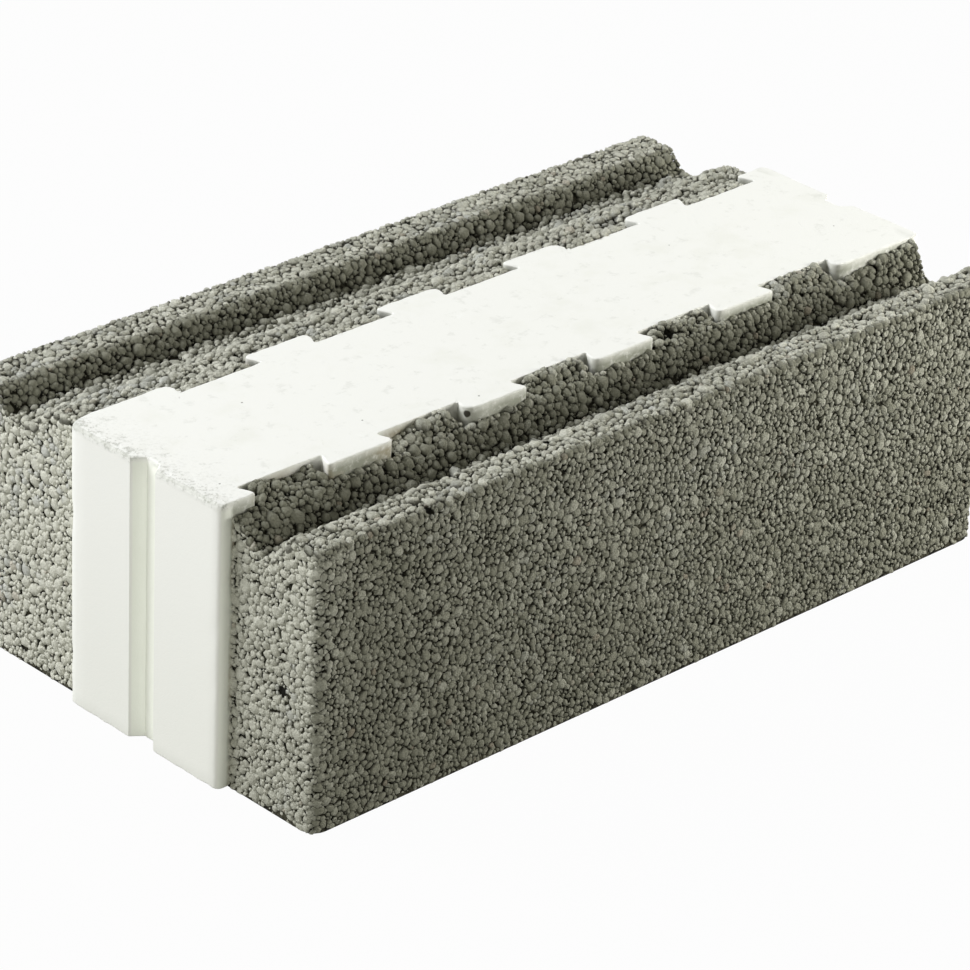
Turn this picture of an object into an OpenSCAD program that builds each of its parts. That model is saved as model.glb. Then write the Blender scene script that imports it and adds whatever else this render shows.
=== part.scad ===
// Insulated masonry block: a keyed polystyrene core between two leaves of
// lightweight clinker concrete, each leaf with a mortar trough along its top.
// Millimetres. X runs along the block, Y across it and Z up. The origin is on the
// bed face, in the middle of the block's length and width.

/* [Polystyrene core] */
// Length of the core, end face to end face
core_length = 600; // [500:1:760]
// Width of the core over the tips of its keys
core_width = 140; // [110:1:180]
// Height of the core
core_height = 190; // [186:1:240]
// Depth of the keys on each side, from root to tip
key_depth = 12.5; // [6:0.5:20]
// How far a key widens from root to tip, at each of its ends
key_flare = 5.4; // [1:0.1:9]
// Length of a key along its tip
key_length = 54.5; // [40:0.5:70]
// Width of the pocket between two keys, at its mouth
pocket_mouth = 54.5; // [40:0.5:70]
// Length of the short key at one end of each side
short_key = 27.5; // [24:0.5:40]

/* [Core end grooves] */
// Width of each end groove at its mouth
groove_mouth = 23; // [16:0.5:40]
// Width of each end groove at its floor
groove_floor = 11; // [4:0.5:15]
// Depth of each end groove
groove_depth = 8; // [4:0.5:14]

/* [Both leaves] */
// How far the core stands out past the leaves at each end
core_overhang = 8; // [2:0.5:12]
// Height of the concrete beside the core
seat_height = 185; // [175:0.5:186]
// Height of both trough floors
floor_height = 166; // [150:0.5:172]
// Radius of the round edge along the top of each outer face
rim_round = 4; // [1:0.5:6]
// Radius of the outer upright corners
corner_round = 6; // [2:0.5:12]

/* [Front leaf] */
// Thickness of the front leaf outside the key tips
front_thickness = 75; // [70:1:110]
// Height of the front rim
front_rim_height = 188; // [176:0.5:200]
// Width of the front rim
front_rim = 22; // [15:0.5:26]
// Run of the slope from the front rim down to the trough floor
front_fall = 13; // [8:0.5:16]
// Width of the front trough floor
front_floor = 21; // [10:0.5:23]
// Level width beside the core on the front leaf
front_shelf = 2; // [1:0.5:5]

/* [Back leaf] */
// Thickness of the back leaf outside the key tips
back_thickness = 105; // [95:1:140]
// Height of the back rim
back_rim_height = 180; // [176:0.5:200]
// Width of the back rim
back_rim = 23; // [15:0.5:28]
// Run of the slope from the back rim down to the trough floor
back_fall = 20; // [10:0.5:24]
// Width of the back trough floor
back_floor = 6; // [4:0.5:12]
// Level width beside the core on the back leaf
back_shelf = 18; // [8:0.5:22]

/* [Hidden] */

// The leaves differ in thickness, so the core lies off the block's middle.
block_width = front_thickness + core_width + back_thickness;
core_y = (front_thickness - back_thickness) / 2;
leaf_length = core_length - 2 * core_overhang;

// As many pockets as leave at least half a key at the other end of the side.
key_pitch = key_length + pocket_mouth;
pocket_count = floor((core_length - short_key + key_length / 2) / key_pitch);

// Cutters run this far past the faces that they cut.
clear = 5;
curve_steps = 10;
round_steps = 4;
corner_sides = 48;

// Height at share t of a smooth slope from height a to height b.
function slope(a, b, t) = a + (b - a) * (1 - cos(180 * t)) / 2;

// Points of a smooth slope from (u0, a) to (u1, b), both ends included.
function slope_points(u0, a, u1, b) = [
    for (i = [0:curve_steps])
        [u0 + (u1 - u0) * i / curve_steps, slope(a, b, i / curve_steps)]
];

// Cross-section of a leaf: u runs inwards from the outer face at u = 0, and the
// inner end runs past the key roots into the core, which is then cut away.
function leaf_section(thickness, rim_height, rim, fall, trough, shelf) = [
    [0, 0],
    for (i = [0:round_steps])
        [
            rim_round * (1 - cos(90 * i / round_steps)),
            rim_height - rim_round * (1 - sin(90 * i / round_steps))
        ],
    each slope_points(rim, rim_height, rim + fall, floor_height),
    each slope_points(rim + fall + trough, floor_height, thickness - shelf, seat_height),
    [thickness + key_depth + clear, seat_height],
    [thickness + key_depth + clear, 0]
];

// Plan of one pocket, centred on X = 0, with its mouth on Y = 0 and its root at +Y.
module pocket_plan() {
    mouth = pocket_mouth / 2;
    root = mouth + key_flare;
    lead = key_flare * clear / key_depth;
    polygon([
        [-mouth + lead, -clear],
        [mouth - lead, -clear],
        [root, key_depth],
        [-root, key_depth]
    ]);
}

// Plan of one end groove, with its mouth on X = 0 and its floor at +X.
module groove_plan() {
    mouth = groove_mouth / 2;
    bed = groove_floor / 2;
    lead = (mouth - bed) * clear / groove_depth;
    polygon([
        [-clear, -mouth - lead],
        [groove_depth, -bed],
        [groove_depth, bed],
        [-clear, mouth + lead]
    ]);
}

// The pockets of the front side, counted from the short key at -X.
module front_pockets() {
    first = -core_length / 2 + short_key + pocket_mouth / 2;
    for (i = [0:pocket_count - 1])
        translate([first + i * key_pitch, -core_width / 2])
            pocket_plan();
}

// Plan of the core about its own middle. The back side is the front side turned
// half round, so the short keys lie at opposite ends.
module core_plan() {
    difference() {
        square([core_length, core_width], center = true);
        for (turn = [0, 180])
            rotate(turn) {
                front_pockets();
                translate([-core_length / 2, 0])
                    groove_plan();
            }
    }
}

// Plan of a leaf, with its outer face on Y = 0 and its outer corners rounded.
module leaf_plan(thickness) {
    reach = thickness + key_depth + 2 * clear;
    translate([-leaf_length / 2, corner_round])
        square([leaf_length, reach]);
    translate([-leaf_length / 2 + corner_round, 0])
        square([leaf_length - 2 * corner_round, reach]);
    for (side = [-1, 1])
        translate([side * (leaf_length / 2 - corner_round), corner_round])
            circle(r = corner_round, $fn = corner_sides);
}

// A leaf's bar with its outer face on Y = 0 and its inside towards +Y.
module leaf_bar(thickness, section) {
    intersection() {
        rotate([90, 0, 90])
            linear_extrude(leaf_length, center = true)
                polygon(section);
        translate([0, 0, -clear])
            linear_extrude(core_height + 4 * clear)
                leaf_plan(thickness);
    }
}

// What the core takes out of the leaf that was cast against it.
module core_cutter() {
    translate([0, core_y, -clear])
        linear_extrude(core_height + 4 * clear)
            core_plan();
}

module polystyrene_core() {
    color("#f4f4ef")
        translate([0, core_y, 0])
            linear_extrude(core_height)
                core_plan();
}

module front_leaf() {
    section = leaf_section(
        front_thickness, front_rim_height, front_rim,
        front_fall, front_floor, front_shelf
    );
    color("#8c8c82")
        difference() {
            translate([0, -block_width / 2, 0])
                leaf_bar(front_thickness, section);
            core_cutter();
        }
}

module back_leaf() {
    section = leaf_section(
        back_thickness, back_rim_height, back_rim,
        back_fall, back_floor, back_shelf
    );
    color("#8c8c82")
        difference() {
            translate([0, block_width / 2, 0])
                mirror([0, 1, 0])
                    leaf_bar(back_thickness, section);
            core_cutter();
        }
}

polystyrene_core();
front_leaf();
back_leaf();
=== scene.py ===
"""Looks of an insulated lightweight concrete block: two clinker concrete leaves cast onto a keyed
polystyrene core. All sizes are in metres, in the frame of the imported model."""

import math
from typing import NamedTuple

import bpy
import numpy as np
from bpy.props import FloatProperty, FloatVectorProperty, IntProperty, PointerProperty
from mathutils import Matrix, Vector


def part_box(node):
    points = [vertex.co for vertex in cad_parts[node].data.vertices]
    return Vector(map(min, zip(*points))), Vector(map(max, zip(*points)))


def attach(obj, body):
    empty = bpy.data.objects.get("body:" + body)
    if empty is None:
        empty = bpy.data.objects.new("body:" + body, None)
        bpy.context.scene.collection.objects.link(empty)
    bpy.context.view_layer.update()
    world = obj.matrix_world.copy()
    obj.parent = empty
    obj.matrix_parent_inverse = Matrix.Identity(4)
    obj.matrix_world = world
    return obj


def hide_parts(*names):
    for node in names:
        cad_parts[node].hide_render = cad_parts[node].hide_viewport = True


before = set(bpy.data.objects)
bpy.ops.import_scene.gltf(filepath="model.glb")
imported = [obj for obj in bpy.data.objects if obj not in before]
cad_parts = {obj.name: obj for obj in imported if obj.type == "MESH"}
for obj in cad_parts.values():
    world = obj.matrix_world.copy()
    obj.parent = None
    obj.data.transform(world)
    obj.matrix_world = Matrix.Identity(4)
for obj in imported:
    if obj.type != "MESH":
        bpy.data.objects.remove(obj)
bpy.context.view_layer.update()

bl_info = {
    "name": "Insulated Concrete Block",
    "version": (1, 0, 0),
    "blender": (4, 5, 0),
    "location": "3D View > Sidebar > Block",
    "description": "Dresses a packed insulated block with clinker granules and moulded polystyrene",
    "category": "Object",
}


# ---------------------------------------------------------------- settings


def length(name, description, default):
    """A size in metres that the panel shows."""
    return FloatProperty(name=name, description=description, default=default, min=0, unit="LENGTH")


def share(name, description, default):
    """A plain number from 0 upwards that the panel shows."""
    return FloatProperty(name=name, description=description, default=default, min=0)


def colour(name, description, default):
    """A linear colour that the panel shows."""
    return FloatVectorProperty(
        name=name, description=description, default=default, size=3, min=0, max=1, subtype="COLOR"
    )


class CoreSettings(bpy.types.PropertyGroup):
    """Sizes and colours of the polystyrene core."""

    key_length: length("Key length", "Width of one key across its tip", 0.0545)
    short_key: length("Short key", "Width of the half key at one end of each side", 0.0275)
    key_depth: length("Key depth", "How far the keys stand out of the core", 0.0125)
    key_flare: length("Key flare", "How much each side of a key narrows towards its root", 0.0054)
    groove_mouth: length("Groove mouth", "Width of the end groove at the end face", 0.023)
    groove_floor: length("Groove floor", "Width of the end groove at its floor", 0.011)
    groove_depth: length("Groove depth", "Depth of the end groove", 0.008)
    corner_round: length("Corner round", "Radius of the upright corners", 0.0048)
    worn_corner: length("Worn corner", "Radius of the most worn upright corner", 0.0085)
    key_round: length("Key round", "Radius of the worn upright corners of the keys", 0.0035)
    edge_round: length("Edge round", "Mean radius of the worn top and bottom edges", 0.0012)
    wave: length("Wave", "Height of the slow unevenness of the top", 0.0008)
    crumble: length("Crumble", "Depth of the crumbled spots at the near end", 0.0010)
    chip: length("Chip", "Depth of the chips in the upright end corners", 0.004)
    # The hole is not modelled: the material paints it as a dark spot, painted shade.
    hole: FloatVectorProperty(
        name="Hole",
        description="Middle of the small hole in one key",
        default=(-0.1033, -0.0813, 0.1851),
        size=3,
        subtype="TRANSLATION",
    )
    bead: length("Bead size", "Width of the foam beads that show in the skin", 0.0034)
    skin: colour("Skin", "Clean moulded skin", (0.915, 0.92, 0.90))
    # Shade serves the smudges on the top and the painted shade on the near end face, darker towards its
    # foot.
    shade: colour("Shade", "Dusty skin low on the faces", (0.80, 0.81, 0.745))
    stain: colour("Stain", "Cement haze beside the concrete", (0.31, 0.32, 0.26))
    brown: colour("Brown stain", "Browner cement haze", (0.37, 0.33, 0.235))
    pit: colour("Pit", "Crumbled pits between the beads", (0.50, 0.51, 0.47))
    # Speck serves the real dark specks on the top and the painted shade of the small hole.
    speck: colour("Speck", "Dark specks and the small hole", (0.07, 0.065, 0.055))


class LeafSettings(bpy.types.PropertyGroup):
    """Sizes and colours of the clinker concrete."""

    seed: IntProperty(name="Seed", description="Layout of the granules", default=7, min=0)
    largest: length("Largest granule", "Radius of the largest granules", 0.0044)
    crowding: share("Crowding", "Least distance of two granules as a share of their radii", 0.72)
    bed: length("Bed", "Depth of the cement bed below the moulded face", 0.0021)
    light: colour("Light granule", "Lightest cement coated granules", (0.74, 0.74, 0.655))
    dark: colour("Dark granule", "Darkest granules", (0.28, 0.28, 0.225))
    blue: colour("Blue granule", "Bluish light granules", (0.64, 0.65, 0.61))
    brown: colour("Brown granule", "Rare burnt granules", (0.34, 0.26, 0.20))
    # Painted shade: this dark cement stands for the shade deep in the gaps, in the bed and at the feet of
    # the granules.
    cement: colour("Cement bed", "Cement deep between the granules", (0.045, 0.043, 0.030))


class StageSettings(bpy.types.PropertyGroup):
    """Camera, lamps and floor."""

    azimuth: FloatProperty(
        name="Azimuth", description="Camera turn to the left", default=math.radians(44.87), unit="ROTATION"
    )
    elevation: FloatProperty(
        name="Elevation", description="Camera height angle", default=math.radians(27.52), unit="ROTATION"
    )
    roll: FloatProperty(
        name="Roll", description="Camera roll", default=math.radians(2.60), unit="ROTATION"
    )
    distance: length("Distance", "From the camera to the point it aims at", 2.925)
    lens: FloatProperty(name="Lens", description="Focal length in millimetres", default=171.8)
    key: share("Key lamp", "Power of the large lamp at the upper left", 205.0)
    fill: share("Fill lamp", "Power of the low lamp at the far right", 16.5)
    near: share("Near lamp", "Power of the weak low lamp before the near end", 11.4)
    sky: share("Sky", "Strength of the even light from all sides", 0.15)
    floor: colour("Floor", "Pale floor", (0.21, 0.21, 0.20))


# ---------------------------------------------------------------- shader maths


class Value:
    """One output of a shader node. Sums with it add the Math nodes that they need."""

    def __init__(self, tree, socket):
        self.tree = tree
        self.socket = socket

    def __add__(self, other):
        return self.tree.maths("ADD", self, other)

    def __radd__(self, other):
        return self.tree.maths("ADD", other, self)

    def __sub__(self, other):
        return self.tree.maths("SUBTRACT", self, other)

    def __rsub__(self, other):
        return self.tree.maths("SUBTRACT", other, self)

    def __mul__(self, other):
        return self.tree.maths("MULTIPLY", self, other)

    def __rmul__(self, other):
        return self.tree.maths("MULTIPLY", other, self)


class Tree:
    """The nodes of a material or of the sky."""

    def __init__(self, node_tree):
        self.nodes = node_tree.nodes
        self.links = node_tree.links

    def node(self, kind, settings, inputs, output=0):
        """Adds a node of that kind with its settings and inputs, and gives the named output."""
        made = self.nodes.new(kind)
        for setting, value in settings.items():
            setattr(made, setting, value)
        for socket, value in inputs.items():
            self.feed(made.inputs[socket], value)
        return Value(self, made.outputs[output])

    def feed(self, socket, value):
        """Links a Value to a socket, or sets the socket to a number or a colour."""
        if isinstance(value, Value):
            self.links.new(value.socket, socket)
        elif socket.type == "RGBA":
            socket.default_value = (*value[:3], 1)
        else:
            socket.default_value = value

    def maths(self, operation, one, other=0.0, clamp=False):
        """A Math node on two values."""
        settings = {"operation": operation, "use_clamp": clamp}
        return self.node("ShaderNodeMath", settings, {0: one, 1: other})

    def seen(self):
        """1 where the camera, a gloss or a glass looks, and 0 for light that is scattered."""
        kinds = ("Camera", "Glossy", "Transmission")
        camera, gloss, glass = (self.node("ShaderNodeLightPath", {}, {}, f"Is {k} Ray") for k in kinds)
        return self.maths("MAXIMUM", self.maths("MAXIMUM", camera, gloss), glass)


class Paint(Tree):
    """A material that is being mixed, on the Principled shader."""

    def __init__(self, name, **constants):
        self.material = bpy.data.materials.new(name)
        self.material.use_nodes = True
        super().__init__(self.material.node_tree)
        self.shader = self.nodes["Principled BSDF"]
        for socket, value in constants.items():
            self.feed(self.shader.inputs[socket.replace("_", " ")], value)
        self.place = self.node("ShaderNodeTexCoord", {}, {}, "Object")

    def blend(self, amount, one, other):
        """Mixes two colours: one where amount is 0 and other where it is 1."""
        return self.node("ShaderNodeMix", {"data_type": "RGBA"}, {0: amount, 6: one, 7: other}, 2)

    def layered(self, base, layers):
        """A colour with (amount, colour) layers laid over it, one after the other."""
        for amount, colour_over in layers:
            base = self.blend(amount, base, colour_over)
        return base

    def ramp(self, value, low, high):
        """0 below low, 1 above high and smooth between."""
        settings = {"interpolation_type": "SMOOTHSTEP"}
        return self.node("ShaderNodeMapRange", settings, {0: value, 1: low, 2: high, 3: 0.0, 4: 1.0})

    def noise(self, size, detail=2.0, roughness=0.5):
        """Soft noise from 0 to 1 whose blotches are about that size."""
        inputs = {"Vector": self.place, "Scale": 1 / size, "Detail": detail, "Roughness": roughness}
        return self.node("ShaderNodeTexNoise", {}, inputs, "Fac")

    def cells(self, size, feature="F1"):
        """Distance to the middles, or to the edges, of Voronoi cells of about that size."""
        inputs = {"Vector": self.place, "Scale": 1 / size}
        return self.node("ShaderNodeTexVoronoi", {"feature": feature}, inputs, "Distance")

    def distance(self, point):
        """How far it is to a point."""
        inputs = {0: self.place, 1: point}
        return self.node("ShaderNodeVectorMath", {"operation": "DISTANCE"}, inputs, "Value")

    def attribute(self, name):
        """The three numbers that the mesh carries under that name."""
        return self.parts(self.node("ShaderNodeAttribute", {"attribute_name": name}, {}, "Vector"))

    def parts(self, vector):
        """The three parts of a vector."""
        split = self.node("ShaderNodeSeparateXYZ", {}, {0: vector}).socket.node
        return [Value(self, out) for out in split.outputs]

    def finish(self, base, roughness, height, depth):
        """Feeds the shader its colour and roughness, and a bump of that depth in metres."""
        inputs = {"Height": height, "Distance": depth, "Strength": 1.0}
        bump = self.node("ShaderNodeBump", {}, inputs, "Normal")
        for socket, value in (("Base Color", base), ("Roughness", roughness), ("Normal", bump)):
            self.feed(self.shader.inputs[socket], value)
        return self.material


# ---------------------------------------------------------------- shape helpers


def ripple(places, size, seed, waves=14):
    """Smooth noise of about -1 to 1: the mean of plane waves of random direction and phase,
    sum(cos(k . p + phase)) * sqrt(2 / waves), each wave about size long."""
    rng = np.random.default_rng(seed)
    way = rng.normal(size=(waves, places.shape[-1]))
    way /= np.linalg.norm(way, axis=1, keepdims=True)
    pace = 2 * math.pi / (size * rng.uniform(0.7, 1.6, waves))
    phase = rng.uniform(0, 2 * math.pi, waves)
    return np.cos(places @ (way * pace[:, None]).T + phase).sum(-1) * math.sqrt(0.5 / waves)


def ease(start, end, t):
    """Half a cosine wave from start to end: start + (end - start) * (1 - cos(pi * t)) / 2."""
    return start + (end - start) * (1 - np.cos(np.pi * np.clip(t, 0, 1))) / 2


def divide(points, step):
    """The points with evenly spaced ones between them, at most step apart."""
    runs = []
    for one, two in zip(points[:-1], points[1:]):
        runs.append(np.linspace(one, two, math.ceil((two - one) / step), endpoint=False))
    return np.concatenate([*runs, points[-1:]])


def half_turn(places, middle):
    """Turns places half a turn about the upright line through (0, middle)."""
    turned = places.copy()
    turned[..., 0] = -places[..., 0]
    turned[..., 1] = 2 * middle - places[..., 1]
    return turned


def unit(vectors):
    """Vectors of length 1."""
    return vectors / np.maximum(np.linalg.norm(vectors, axis=-1, keepdims=True), 1e-12)


def grid_faces(count_i, count_j, first=0):
    """Quads between the points of a grid stored row after row, facing the side from which i, j turn
    anticlockwise. First is the number of the grid's first point."""
    i, j = np.meshgrid(np.arange(count_i - 1), np.arange(count_j - 1), indexing="ij")
    corner = (i * count_j + j).ravel()
    return np.stack([corner, corner + count_j, corner + count_j + 1, corner + 1], 1) + first


def fill_mesh(mesh, places, faces):
    """Puts places (n, 3) and a list of face arrays, each (m, corners), into an empty mesh."""
    loops = np.concatenate([f.ravel() for f in faces]).astype(np.int32)
    counts = np.concatenate([np.full(len(f), f.shape[1]) for f in faces]).astype(np.int32)
    starts = (np.cumsum(counts) - counts).astype(np.int32)
    mesh.vertices.add(len(places))
    mesh.vertices.foreach_set("co", places.astype(np.float32).ravel())
    mesh.loops.add(len(loops))
    mesh.loops.foreach_set("vertex_index", loops)
    mesh.polygons.add(len(counts))
    mesh.polygons.foreach_set("loop_start", starts)
    mesh.polygons.foreach_set("loop_total", counts)
    mesh.update(calc_edges=True)
    if mesh.validate():
        raise RuntimeError(f"{mesh.name} has broken faces")


def add_piece(name, places, faces, material, node, crease=None, carried=None):
    """Makes a smooth piece of the block from places and faces, sharp where it turns by more than
    crease degrees. Carried holds named colours per point."""
    mesh = bpy.data.meshes.new(name)
    fill_mesh(mesh, places, faces)
    mesh.polygons.foreach_set("use_smooth", np.full(len(mesh.polygons), True))
    if crease:
        mesh.set_sharp_from_angle(angle=math.radians(crease))
    for label, values in (carried or {}).items():
        layer = mesh.attributes.new(label, "FLOAT_COLOR", "POINT")
        layer.data.foreach_set("color", values.astype(np.float32).ravel())
    mesh.materials.append(material)
    piece = bpy.data.objects.new(name, mesh)
    bpy.context.scene.collection.objects.link(piece)
    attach(piece, "root")
    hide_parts(node)


# ---------------------------------------------------------------- keyed outline


def round_corner(before, corner, after, radius, steps):
    """Points of the arc that rounds a corner: the corner is cut back by radius * tan(turn / 2) along
    both edges, and the arc runs as a quadratic curve with the corner as its middle control point."""
    back, on = unit(before - corner), unit(after - corner)
    half = math.acos(max(-1, min(1, float(-back @ on)))) / 2
    cut = radius * math.tan(half)
    start, end = corner + back * cut, corner + on * cut
    t = np.linspace(0, 1, steps)[:, None]
    return (1 - t) ** 2 * start + 2 * t * (1 - t) * corner + t**2 * end


# How worn the two corners of each pocket mouth are, from the near end on.
WORN_CORNERS = [0.8, 0.8, 1.5, 3.0, 1.0, 2.0, 1.0, 1.6, 1.2, 2.4]

# Points on each rounded corner, steps along a flank and along a face, and how strongly the steps
# close up towards the two ends of the edge.
ARC_POINTS, FLANK_STEPS, FACE_STEPS, BUNCHING = 5, 4, 10, 1.8


def keyed_edge(core, low, high, face, end_left, end_right, tip_round, root_round):
    """The front edge of the keyed core seen from above, from left to right: keys that reach face,
    pockets key_depth deeper, each key narrower by key_flare a side at its root.
    Gives the edge points, and for each point the part of the edge that it lies on."""
    root = face + core.key_depth
    corners, kinds = [], []
    start = low + core.short_key
    while start + core.key_length < high - core.short_key / 2:
        end = start + core.key_length
        corners += [(start, face), (start - core.key_flare, root), (end + core.key_flare, root), (end, face)]
        kinds += ["tip", "root", "root", "tip"]
        start = end + core.key_length
    corners = np.array([(end_left, face), *corners, (end_right, face)])
    radii = {"tip": tip_round, "root": root_round}
    worn = np.ones(len(kinds) + 1)
    worn[1::4], worn[4::4] = WORN_CORNERS[::2], WORN_CORNERS[1::2]
    runs, marks = [corners[:1]], [np.zeros(1)]
    for k, kind in enumerate(kinds, 1):
        arc = round_corner(corners[k - 1], corners[k], corners[k + 1], radii[kind] * worn[k], ARC_POINTS)
        steps = FLANK_STEPS if abs(corners[k][1] - corners[k - 1][1]) > 1e-6 else FACE_STEPS
        t = np.linspace(0, 1, steps + 1)[1:-1, None] ** (BUNCHING if k == 1 else 1)
        runs += [runs[-1][-1:] * (1 - t) + arc[:1] * t, arc]
        marks += [k - 1 + t.ravel(), np.full(ARC_POINTS, float(k))]
    t = 1 - np.linspace(1, 0, FACE_STEPS + 1)[1:, None] ** BUNCHING
    runs.append(runs[-1][-1:] * (1 - t) + corners[-1:] * t)
    marks.append(len(kinds) + t.ravel())
    return np.concatenate(runs), np.concatenate(marks), corners


def straight_row(corners, marks, leans):
    """The x of a straight row that runs beside a keyed edge: corner k of the edge stands over
    corners[k].x + leans[k], and what lies between two corners is shared out evenly."""
    return np.interp(marks, np.arange(len(corners)), corners[:, 0] + leans)


def end_notch(core, y, middle):
    """Depth of the end groove at y: groove_depth on its floor, falling to 0 at its mouth."""
    away = np.abs(y - middle)
    edges = [core.groove_floor / 2, core.groove_mouth / 2]
    return np.interp(away, edges, [core.groove_depth, 0.0])


def pull_corners(plan, low, high, radii):
    """Rounds the upright corners of a plan: a point nearer than its radius to two sides is drawn in
    until it is that far away from the corner's own centre. Radii are those of the corners at the
    low x, low and high y, and at the high x."""
    for side_x in (0, 1):
        for side_y in (0, 1):
            radius = radii[2 * side_x + side_y]
            edge = np.array([(low, high)[side_x][0], (low, high)[side_y][1]])
            way = np.array([1 - 2 * side_x, 1 - 2 * side_y])
            short = np.maximum(radius - (plan - edge) * way, 0)
            far = np.linalg.norm(short, axis=-1, keepdims=True)
            both = (short > 0).all(-1, keepdims=True)
            drawn = edge + way * (radius - short * np.minimum(1, radius / np.maximum(far, 1e-12)))
            plan = np.where(both, drawn, plan)
    return plan


def border(count_i, count_j):
    """Indices of the border of a grid, anticlockwise from its first point."""
    i, j = np.arange(count_i), np.arange(count_j)
    sides = [
        i * count_j,
        (count_i - 1) * count_j + j[1:],
        i[-2::-1] * count_j + count_j - 1,
        j[-2:0:-1],
    ]
    return np.concatenate(sides)


def outward(outline):
    """Outward normals of an anticlockwise closed outline, from the points on both sides of each."""
    along = np.roll(outline, -1, 0) - np.roll(outline, 1, 0)
    return unit(np.stack([along[:, 1], -along[:, 0]], 1))


def draw_in(plan, rim, shift):
    """The plan with its border moved by shift, and the points near each side moved along with it by
    shift * exp(-distance / (2.5 * length of the shift)), which keeps their order."""
    on_border = np.zeros(plan.shape)
    on_border.reshape(-1, 2)[rim] = shift
    drawn = plan.copy()
    for side in (np.s_[:1], np.s_[-1:], np.s_[:, :1], np.s_[:, -1:]):
        far = np.linalg.norm(plan - plan[side], axis=-1, keepdims=True)
        size = np.linalg.norm(on_border[side], axis=-1, keepdims=True)
        drawn += on_border[side] * np.exp(-far / (2.5 * size + 1e-6))
    drawn.reshape(-1, 2)[rim] = plan.reshape(-1, 2)[rim] + shift
    return drawn


def close_body(plan, top, base, rings, lower):
    """A closed body on a plan grid (i, j, 2). Top and base are heights on that grid. Rings are
    (inset, height) arrays for the wall, from the base up, and lower is the inset of the two covers.
    Gives the places and the faces."""
    count_i, count_j = plan.shape[:2]
    rim = border(count_i, count_j)
    flat = plan.reshape(-1, 2)
    outline = flat[rim]
    normal = outward(outline)
    covers = []
    for height, inset in ((base, lower[0]), (top, lower[1])):
        drawn = draw_in(plan, rim, -normal * np.reshape(inset, (-1, 1)))
        covers.append(np.concatenate([drawn.reshape(-1, 2), height.reshape(-1, 1)], 1))
    total = len(flat)
    places, faces = [covers[0], covers[1]], []
    faces.append(grid_faces(count_i, count_j)[:, ::-1])
    faces.append(grid_faces(count_i, count_j, total))
    names = [rim]
    for k, (inset, height) in enumerate(rings):
        ring = np.empty((len(rim), 3))
        ring[:, :2] = outline - normal * np.reshape(inset, (-1, 1))
        ring[:, 2] = height
        places.append(ring)
        names.append(2 * total + k * len(rim) + np.arange(len(rim)))
    names.append(rim + total)
    for one, two in zip(names[:-1], names[1:]):
        after_one, after_two = np.roll(one, -1), np.roll(two, -1)
        faces.append(np.stack([one, after_one, after_two, two], 1))
    return np.concatenate(places), faces


# ---------------------------------------------------------------- polystyrene core


# The plan grid of the core: from the roots of the keys to its first straight row, how far the points
# of that row spread beside the corners at the tips and at the roots of the keys, the rows between a
# keyed edge and it as shares, the gap of the rows past it, and how far in the end grooves reach.
BEHIND_KEYS = 0.006
TIP_LEAN, ROOT_LEAN = 0.0135, 0.0045
ROWS_BETWEEN = [0.02, 0.065, 0.135, 0.24, 0.5]
ROW_GAP = 0.0035
NOTCH_REACH = 0.026


def core_plan(core, low, high):
    """Plan grid of the core: rows run from the keyed front edge through straight rows to the keyed
    back edge, which is the front edge after half a turn, and both ends are notched by a groove."""
    middle = (low.y + high.y) / 2
    front, marks, corners = keyed_edge(
        core, low.x, high.x, low.y, low.x, high.x, core.key_round, core.edge_round
    )
    near, far = low.y + (core.key_depth + BEHIND_KEYS), high.y - (core.key_depth + BEHIND_KEYS)
    lean = np.zeros(len(corners))
    lean[1:-1:4], lean[2:-1:4] = -TIP_LEAN, -ROOT_LEAN
    lean[3:-1:4], lean[4:-1:4] = ROOT_LEAN, TIP_LEAN
    row = straight_row(corners, marks, lean)
    back = half_turn(front, middle)[::-1]
    far_row = -row[::-1]
    begin = np.stack([row, np.full(len(row), near)], 1)
    end = np.stack([far_row, np.full(len(row), far)], 1)
    rows = [front, *(front * (1 - t) + begin * t for t in ROWS_BETWEEN)]
    mouth, floor = core.groove_mouth / 2, core.groove_floor / 2
    stations = [near, middle - mouth, middle - floor, middle + floor, middle + mouth, far]
    for y in divide(stations, ROW_GAP):
        t = (y - near) / (far - near)
        rows.append(np.stack([row * (1 - t) + far_row * t, np.full(len(row), y)], 1))
    rows += [end * t + back * (1 - t) for t in ROWS_BETWEEN[::-1]]
    plan = np.stack([*rows, back], 1)
    notch = end_notch(core, plan[..., 1], middle)
    from_left = np.clip(1 - (plan[..., 0] - low.x) / NOTCH_REACH, 0, 1)
    from_right = np.clip(1 - (high.x - plan[..., 0]) / NOTCH_REACH, 0, 1)
    plan[..., 0] += notch * (from_left - from_right)
    rounds = [core.corner_round, core.worn_corner, core.corner_round, core.corner_round]
    return pull_corners(plan, (low.x, low.y), (high.x, high.y), rounds)


# Wear of the core: how far it reaches from the near end, how far the crumbled spots do, how far from
# an upright corner, how much more the worst corner lost at its top, and the share of the round that
# is left on the edges at the roots of the keys, which lie between two distances from the front.
NEAR_REACH, CRUMBLE_REACH, CORNER_REACH = 0.004, 0.014, 0.009
CORNER_LOSS = 0.003
ROOT_EDGE, ROOT_FROM, ROOT_TO = 0.4, 0.011, 0.014

# Turns of the rings that round the top and bottom edges, and heights of the rings of the wall.
EDGE_TURNS = np.radians([22.5, 45, 67.5])
WALL_STEPS = [*np.linspace(0, 0.88, 21), 0.92, 0.945, 0.965, 0.98, 1.0]


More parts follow.
